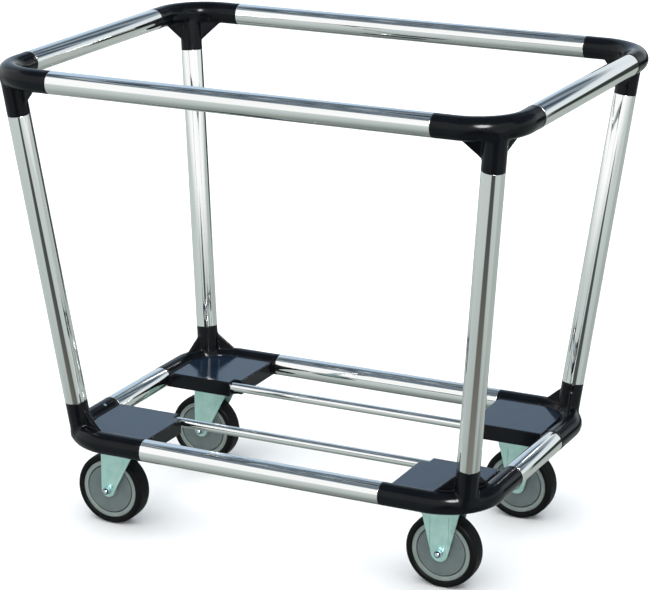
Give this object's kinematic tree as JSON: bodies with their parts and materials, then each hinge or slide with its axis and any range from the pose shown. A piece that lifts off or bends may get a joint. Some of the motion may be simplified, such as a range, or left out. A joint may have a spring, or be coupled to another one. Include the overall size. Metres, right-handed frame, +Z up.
{
  "type": "linen trolley",
  "caption": "Open hospital laundry trolley: tapered frame of polished tube and black corner fittings, on swivel and fixed casters.",
  "frame": {"origin": "on the floor under the middle of the frame", "axes": "+Z up, X along the long side with the swivel casters at -X, Y across with the front at -Y"},
  "size_m": [0.938, 0.682, 0.829],
  "materials": {
    "polished_tube": "mirror-polished stainless steel tube and rod",
    "black_moulding": "glossy black nylon mouldings, satin on the platform tops",
    "zinc_plate": "bright zinc plate with a pale green tint",
    "grey_rim": "light grey moulded wheel rim, satin",
    "grey_disc": "mid grey moulded cover disc, satin",
    "black_tyre": "smooth black elastic tyre"
  },
  "bodies": {
    "frame": {"top_rail_front": "polished_tube", "top_rail_back": "polished_tube", "top_rail_left": "polished_tube", "top_rail_right": "polished_tube", "base_rail_front": "polished_tube", "base_rail_back": "polished_tube", "base_rail_left": "polished_tube", "base_rail_right": "polished_tube", "leg_front_left": "polished_tube", "leg_front_right": "polished_tube", "leg_back_left": "polished_tube", "leg_back_right": "polished_tube", "upper_corner_front_left": "black_moulding", "upper_corner_front_right": "black_moulding", "upper_corner_back_left": "black_moulding", "upper_corner_back_right": "black_moulding", "lower_corner_front_left": "black_moulding", "lower_corner_front_right": "black_moulding", "lower_corner_back_left": "black_moulding", "lower_corner_back_right": "black_moulding", "base_rod_front": "polished_tube", "base_rod_back": "polished_tube", "swivel_plate_front_left": "zinc_plate", "swivel_race_front_left": "zinc_plate", "king_pin_front_left": "zinc_plate", "fixed_fork_front_right": "zinc_plate", "axle_bolt_front_right": "zinc_plate", "axle_nut_front_right": "zinc_plate", "axle_sleeve_front_right": "zinc_plate", "swivel_plate_back_left": "zinc_plate", "swivel_race_back_left": "zinc_plate", "king_pin_back_left": "zinc_plate", "fixed_fork_back_right": "zinc_plate", "axle_bolt_back_right": "zinc_plate", "axle_nut_back_right": "zinc_plate", "axle_sleeve_back_right": "zinc_plate"},
    "swivel_front": {"swivel_fork_front_left": "zinc_plate", "axle_bolt_front_left": "zinc_plate", "axle_nut_front_left": "zinc_plate", "axle_sleeve_front_left": "zinc_plate"},
    "wheel_front_left": {"wheel_core_front_left": "grey_rim", "tyre_front_left": "black_tyre", "front_disc_front_left": "grey_disc", "rear_disc_front_left": "grey_disc"},
    "wheel_front_right": {"wheel_core_front_right": "grey_rim", "tyre_front_right": "black_tyre", "front_disc_front_right": "grey_disc", "rear_disc_front_right": "grey_disc"},
    "swivel_back": {"swivel_fork_back_left": "zinc_plate", "axle_bolt_back_left": "zinc_plate", "axle_nut_back_left": "zinc_plate", "axle_sleeve_back_left": "zinc_plate"},
    "wheel_back_left": {"wheel_core_back_left": "grey_rim", "tyre_back_left": "black_tyre", "front_disc_back_left": "grey_disc", "rear_disc_back_left": "grey_disc"},
    "wheel_back_right": {"wheel_core_back_right": "grey_rim", "tyre_back_right": "black_tyre", "front_disc_back_right": "grey_disc", "rear_disc_back_right": "grey_disc"}
  },
  "joints": [
    {"name": "front_swivel", "type": "hinge", "parent": "frame", "child": "swivel_front", "pos_m": [-0.295, -0.1665, 0.14], "axis": [0, 0, 1], "continuous": true},
    {"name": "front_left_spin", "type": "hinge", "parent": "swivel_front", "child": "wheel_front_left", "pos_m": [-0.331, -0.1665, 0.0635], "axis": [0, 1, 0], "continuous": true},
    {"name": "front_right_spin", "type": "hinge", "parent": "frame", "child": "wheel_front_right", "pos_m": [0.295, -0.1665, 0.0635], "axis": [0, 1, 0], "continuous": true},
    {"name": "back_swivel", "type": "hinge", "parent": "frame", "child": "swivel_back", "pos_m": [-0.295, 0.1665, 0.14], "axis": [0, 0, 1], "continuous": true},
    {"name": "back_left_spin", "type": "hinge", "parent": "swivel_back", "child": "wheel_back_left", "pos_m": [-0.331, 0.1665, 0.0635], "axis": [0, 1, 0], "continuous": true},
    {"name": "back_right_spin", "type": "hinge", "parent": "frame", "child": "wheel_back_right", "pos_m": [0.295, 0.1665, 0.0635], "axis": [0, 1, 0], "continuous": true}
  ]
}
